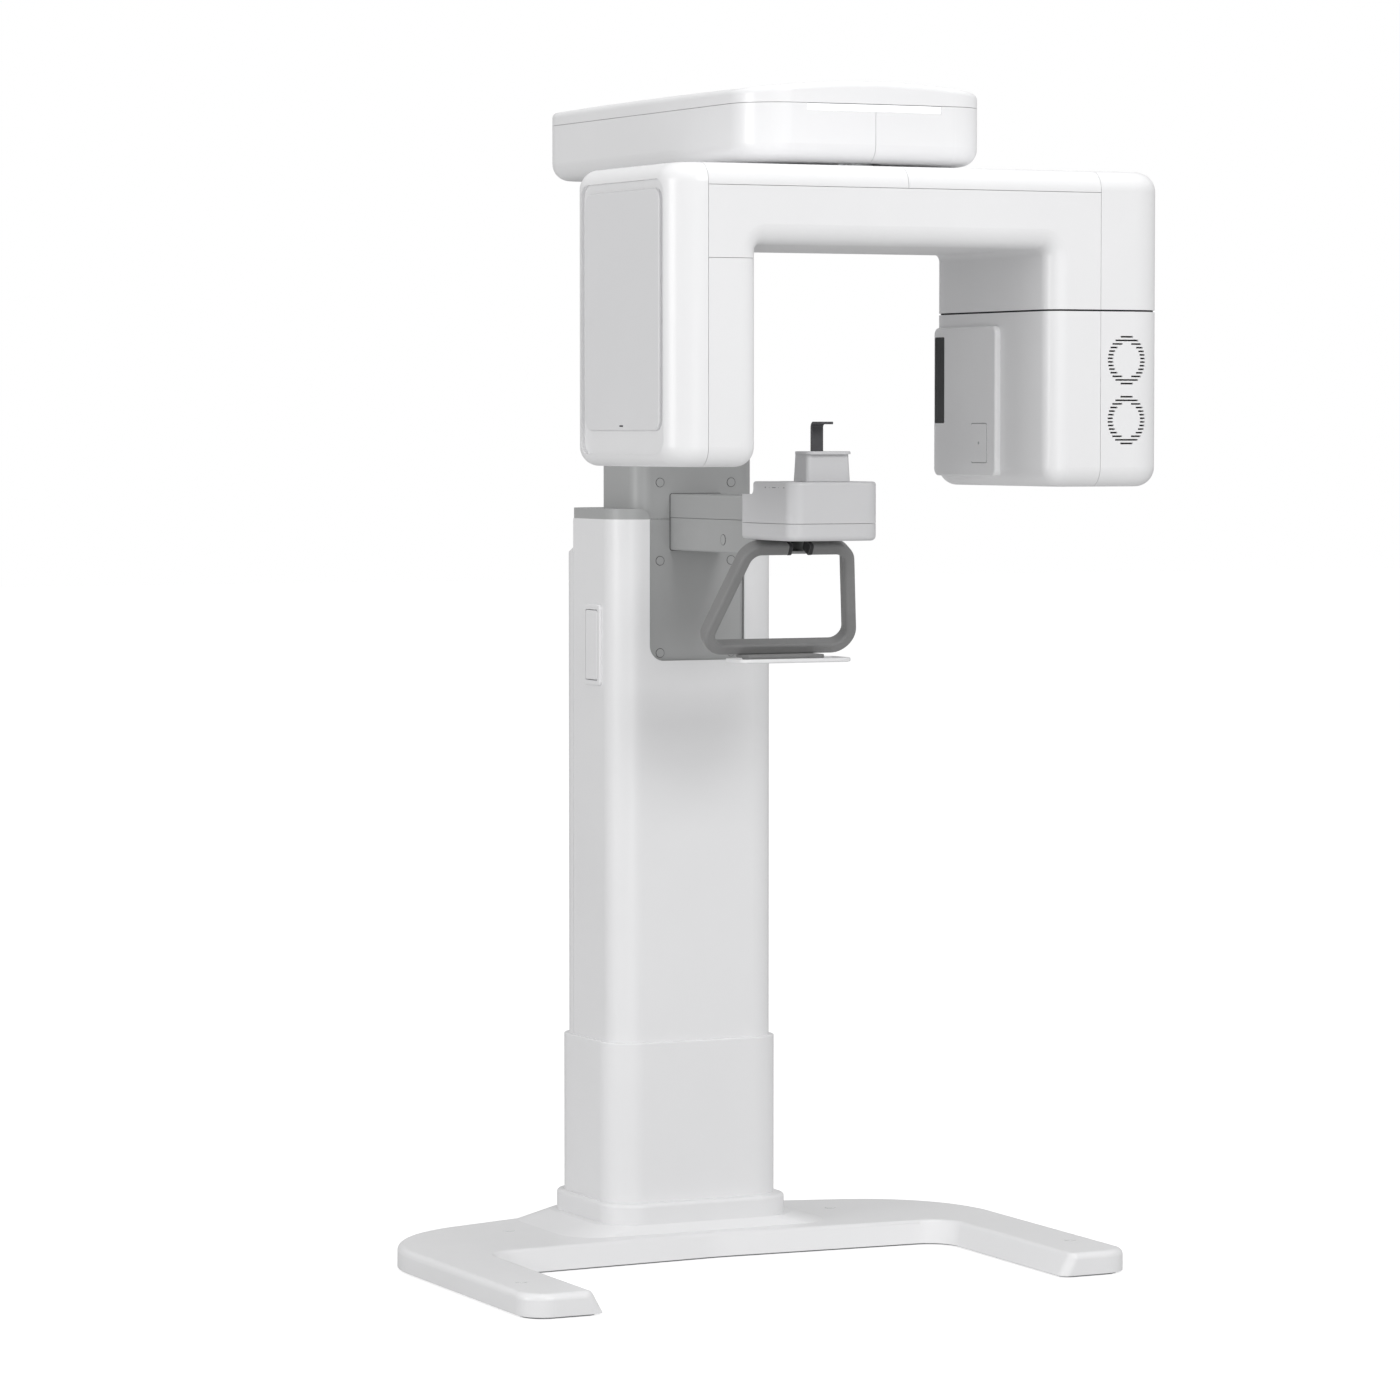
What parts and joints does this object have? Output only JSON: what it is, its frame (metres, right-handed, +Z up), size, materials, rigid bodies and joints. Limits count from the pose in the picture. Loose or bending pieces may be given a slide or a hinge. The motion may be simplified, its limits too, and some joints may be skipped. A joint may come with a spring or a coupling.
{
  "type": "panoramic dental x-ray machine",
  "caption": "Floor-standing panoramic dental x-ray machine: U-shaped base, lifting column, overhead head, rotating C-arm with detector and tube housings, chinrest and hand grips.",
  "frame": {"origin": "on the floor under the centre of the column, the centre of the base plate's underside pattern", "axes": "+Z up, -Y towards the patient's side, +X towards the tube head's housing"},
  "size_m": [0.922, 0.865, 1.638],
  "materials": {
    "white_cover": "satin white moulded cover",
    "light_grey_panel": "matt light grey panel",
    "grey_cover": "satin mid grey paint",
    "chin_plastic": "matt light grey moulding",
    "handle_grip": "soft-touch dark grey",
    "dark_window": "dark radiolucent window",
    "bite_plastic": "matt dark grey",
    "light_strip": "translucent white light guide",
    "steel": "zinc plated steel",
    "alloy": "machined aluminium",
    "black_plastic": "black moulding",
    "belt_rubber": "toothed belt rubber",
    "unit_grey": "sealed unit, grey paint"
  },
  "bodies": {
    "column": {"base_frame": "steel", "base_cover": "white_cover", "base_caps": "white_cover", "column_collar": "white_cover", "lower_column_shell": "white_cover", "upper_column_shell": "white_cover", "column_back_cover": "white_cover", "column_top_trim": "grey_cover", "lift_switch_bezels": "white_cover", "mast": "steel", "lift_actuator": "unit_grey", "power_supply": "unit_grey", "mains_inlet": "black_plastic"},
    "rocker_left": {"lift_rocker_left": "white_cover"},
    "rocker_right": {"lift_rocker_right": "white_cover"},
    "carriage": {"carriage_tube": "alloy", "carriage_cover_lower": "grey_cover", "carriage_cover_upper": "grey_cover", "guide_blocks": "steel", "lift_rod": "steel", "chinrest_beam": "steel", "arm_cover_lower": "grey_cover", "arm_cover_upper": "grey_cover", "carriage_screw_caps": "grey_cover", "chinrest_lower_housing": "chin_plastic", "chinrest_upper_housing": "chin_plastic", "handle_frame": "handle_grip", "tray": "white_cover", "head_shell_left": "white_cover", "head_shell_right": "white_cover", "head_top_cover": "white_cover", "head_light_bar": "light_strip", "head_plate": "steel", "orbit_actuator": "black_plastic"},
    "chin_support": {"chin_support": "chin_plastic"},
    "bite_rod": {"bite_rod": "bite_plastic"},
    "orbit_stage": {"stage_plate": "alloy", "rotation_bearing": "steel", "rotation_motor": "black_plastic", "drive_belt": "belt_rubber"},
    "motor_pulley": {"motor_pulley": "alloy"},
    "rotating_arm": {"arm_top_cover_left": "white_cover", "arm_top_cover_right": "white_cover", "arm_beam_cover": "white_cover", "detector_cover": "white_cover", "detector_end_cover": "white_cover", "detector_end_panel": "light_grey_panel", "generator_end_upper": "white_cover", "generator_cover": "white_cover", "generator_end_cover": "white_cover", "generator_inner_panel": "white_cover", "exit_window": "dark_window", "service_door": "white_cover", "arm_frame": "steel", "rotor_hub": "alloy", "image_sensor": "black_plastic", "tube_head": "unit_grey", "fan_frames": "black_plastic"},
    "fan_lower": {"fan_lower": "black_plastic"},
    "fan_upper": {"fan_upper": "black_plastic"}
  },
  "joints": [
    {"name": "column_lift", "type": "slide", "parent": "column", "child": "carriage", "axis": [0, 0, 1], "range_m": [0, 0.7]},
    {"name": "orbit_slide", "type": "slide", "parent": "carriage", "child": "orbit_stage", "axis": [0, 1, 0], "range_m": [-0.015, 0.015]},
    {"name": "arm_rotation", "type": "hinge", "parent": "orbit_stage", "child": "rotating_arm", "pos_m": [0, -0.573, 1.55], "axis": [0, 0, 1], "range_deg": [-120, 120]},
    {"name": "pulley_spin", "type": "hinge", "parent": "orbit_stage", "child": "motor_pulley", "pos_m": [0, -0.47, 1.56], "axis": [0, 0, 1], "range_deg": [-490, 490]},
    {"name": "fan_lower_spin", "type": "hinge", "parent": "rotating_arm", "child": "fan_lower", "pos_m": [0.33, -0.72, 1.188], "axis": [0, 1, 0], "continuous": true},
    {"name": "fan_upper_spin", "type": "hinge", "parent": "rotating_arm", "child": "fan_upper", "pos_m": [0.33, -0.72, 1.268], "axis": [0, 1, 0], "continuous": true},
    {"name": "rocker_left_tilt", "type": "hinge", "parent": "column", "child": "rocker_left", "pos_m": [-0.125, -0.0225, 0.8685], "axis": [0, 1, 0], "range_deg": [-2.5, 2.5], "stiffness_Nm_per_rad": 1},
    {"name": "rocker_right_tilt", "type": "hinge", "parent": "column", "child": "rocker_right", "pos_m": [0.125, -0.0225, 0.8685], "axis": [0, 1, 0], "range_deg": [-2.5, 2.5], "stiffness_Nm_per_rad": 1},
    {"name": "chin_support_lift", "type": "slide", "parent": "carriage", "child": "chin_support", "axis": [0, 0, 1], "range_m": [0, 0.035]},
    {"name": "bite_rod_lift", "type": "slide", "parent": "chin_support", "child": "bite_rod", "axis": [0, 0, 1], "range_m": [0, 0.03]}
  ],
  "couplings": [
    {"joint": "pulley_spin", "follows": "arm_rotation", "ratio": 4}
  ]
}
